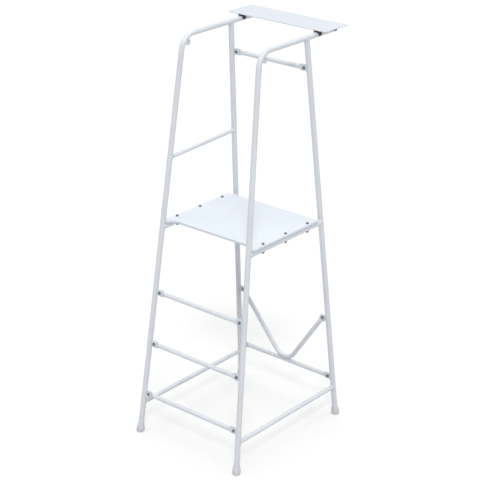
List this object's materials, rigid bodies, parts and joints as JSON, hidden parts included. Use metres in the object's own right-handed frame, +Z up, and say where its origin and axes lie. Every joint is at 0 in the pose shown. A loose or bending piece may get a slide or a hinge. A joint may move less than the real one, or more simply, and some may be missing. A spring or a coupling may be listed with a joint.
{
  "type": "volleyball referee stand",
  "caption": "Tall tube-frame stand with a ladder side, a flat board to stand on, one arm rail and a small sheet desk across the front of the top rails.",
  "frame": {"origin": "on the floor, under the middle of the whole stand", "axes": "+Z up; -Y towards the ladder side, +Y towards the desk; +X to the right of someone who climbs the ladder, so the arm rail is on -X"},
  "size_m": [0.7548, 0.9509, 2.273],
  "materials": {
    "frame_paint": "satin powder coat",
    "board_paint": "white paint on plywood",
    "sheet_paint": "satin powder coat",
    "black_plastic": "matt",
    "grey_plastic": "matt",
    "zinc_steel": "zinc plated"
  },
  "bodies": {
    "root": {"left_rear_leg_rail": "frame_paint", "right_rear_leg_rail": "frame_paint", "left_front_leg": "frame_paint", "right_front_leg": "frame_paint", "left_platform_rail": "frame_paint", "right_platform_rail": "frame_paint", "left_bottom_rail": "frame_paint", "right_bottom_rail": "frame_paint", "left_arm_rail": "frame_paint", "lower_rung": "frame_paint", "middle_rung": "frame_paint", "upper_rung": "frame_paint", "top_crossbar": "frame_paint", "bottom_crossbar": "frame_paint", "v_brace": "frame_paint", "left_rear_tabs": "frame_paint", "right_rear_tabs": "frame_paint", "left_front_tabs": "frame_paint", "right_front_tabs": "frame_paint", "left_chain_lug": "frame_paint", "right_chain_lug": "frame_paint", "platform_board": "board_paint", "desk_sheet": "sheet_paint", "left_saddles": "black_plastic", "right_saddles": "black_plastic", "left_rail_plug": "black_plastic", "right_rail_plug": "black_plastic", "left_rear_foot_cap": "grey_plastic", "right_rear_foot_cap": "grey_plastic", "left_front_foot_cap": "grey_plastic", "right_front_foot_cap": "grey_plastic", "desk_weld_nuts": "zinc_steel", "desk_screws": "zinc_steel", "frame_bolts": "zinc_steel", "frame_washers": "zinc_steel", "frame_nuts": "zinc_steel", "platform_bolts": "zinc_steel", "platform_washers": "zinc_steel", "platform_nuts": "zinc_steel"}
  },
  "joints": []
}
